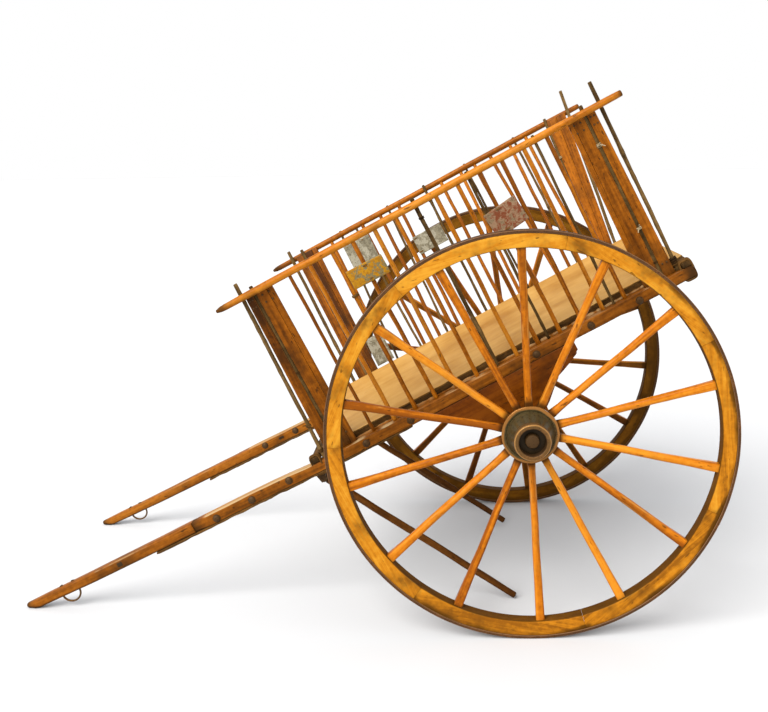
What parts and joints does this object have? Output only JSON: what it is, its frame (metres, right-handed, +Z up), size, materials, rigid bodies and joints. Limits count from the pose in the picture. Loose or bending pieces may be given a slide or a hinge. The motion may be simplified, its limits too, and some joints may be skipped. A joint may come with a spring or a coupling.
{
  "type": "two-wheeled wooden cart",
  "caption": "Light two-wheeled animal-drawn wooden cart with tall spoked wheels, slatted leaning sides and long shafts, parked nose-down on its shaft tips",
  "frame": {"origin": "on the floor under the middle of the bounding box", "axes": "+X towards the tail of the cart, +Y towards its right-hand wheel, +Z up"},
  "size_m": [2.8208, 1.666, 2.124],
  "materials": {
    "iron_tyre": "rusty dark forged iron, road-worn",
    "wood_felloe": "varnished ochre wood with dark stains",
    "wood_spoke": "varnished honey-coloured wood",
    "iron_old": "dark old iron with rust",
    "wood_beam": "reddish brown weathered varnish",
    "wood_rail": "orange-brown wood polished by hands",
    "wood_dark": "grey-brown bare weathered wood",
    "wood_plywood": "pale tan bare plywood",
    "plate_yellow": "flaking yellow paint over grey metal",
    "plate_red": "faded red paint over whitish metal",
    "plate_grey": "dull grey sheet metal"
  },
  "bodies": {
    "chassis": {"axle": "iron_old", "axle_board_left": "wood_beam", "axle_board_right": "wood_beam", "axle_nut_left": "iron_old", "axle_nut_right": "iron_old", "board_front_inner_left": "wood_beam", "board_front_inner_right": "wood_beam", "board_front_outer_left": "wood_beam", "board_front_outer_right": "wood_beam", "board_rear_inner_left": "wood_beam", "board_rear_inner_right": "wood_beam", "board_rear_outer_left": "wood_beam", "board_rear_outer_right": "wood_beam", "cross_bar_fourth": "wood_dark", "cross_bar_front": "wood_dark", "cross_bar_rear": "wood_dark", "cross_bar_second": "wood_dark", "cross_bar_third": "wood_dark", "front_dark_stake_left": "wood_dark", "front_dark_stake_right": "wood_dark", "front_tall_stake_left": "wood_dark", "front_tall_stake_right": "wood_dark", "middle_stake_left": "wood_dark", "middle_stake_right": "wood_dark", "plank_1": "wood_dark", "plank_2": "wood_dark", "plank_3": "wood_dark", "plank_4": "wood_dark", "plate_grey": "plate_grey", "plate_low": "plate_grey", "plate_red": "plate_red", "plate_tall": "plate_grey", "plate_yellow": "plate_yellow", "plywood_sheet": "wood_plywood", "prop_hanger_left": "iron_old", "prop_hanger_right": "iron_old", "rail_left": "wood_rail", "rail_right": "wood_rail", "rear_dark_stake_left": "wood_dark", "rear_dark_stake_right": "wood_dark", "rear_tall_stake_left": "wood_dark", "rear_tall_stake_right": "wood_dark", "shaft_left": "wood_beam", "shaft_plate_left": "iron_old", "shaft_plate_right": "iron_old", "shaft_right": "wood_beam", "shaft_ring_left": "iron_old", "shaft_ring_right": "iron_old"},
    "wheel_left": {"tyre_left": "iron_tyre", "felloes_left": "wood_felloe", "wheel_left": "wood_spoke", "nave_flange_left": "iron_old", "nose_ring_left": "iron_old"},
    "wheel_right": {"tyre_right": "iron_tyre", "felloes_right": "wood_felloe", "wheel_right": "wood_spoke", "nave_flange_right": "iron_old", "nose_ring_right": "iron_old"},
    "prop_left": {"prop_left": "wood_dark"},
    "prop_right": {"prop_right": "wood_dark"}
  },
  "joints": [
    {"name": "wheel_left_spin", "type": "hinge", "parent": "chassis", "child": "wheel_left", "pos_m": [0.63544, -0.736, 0.775], "axis": [0, 1, 0], "continuous": true},
    {"name": "wheel_right_spin", "type": "hinge", "parent": "chassis", "child": "wheel_right", "pos_m": [0.63544, 0.736, 0.775], "axis": [0, 1, 0], "continuous": true},
    {"name": "prop_left_swing", "type": "hinge", "parent": "chassis", "child": "prop_left", "pos_m": [-0.18356, -0.42, 0.52217], "axis": [0, 1, 0], "range_deg": [-46, 100]},
    {"name": "prop_right_swing", "type": "hinge", "parent": "chassis", "child": "prop_right", "pos_m": [-0.18356, 0.42, 0.52217], "axis": [0, 1, 0], "range_deg": [-46, 100]}
  ]
}
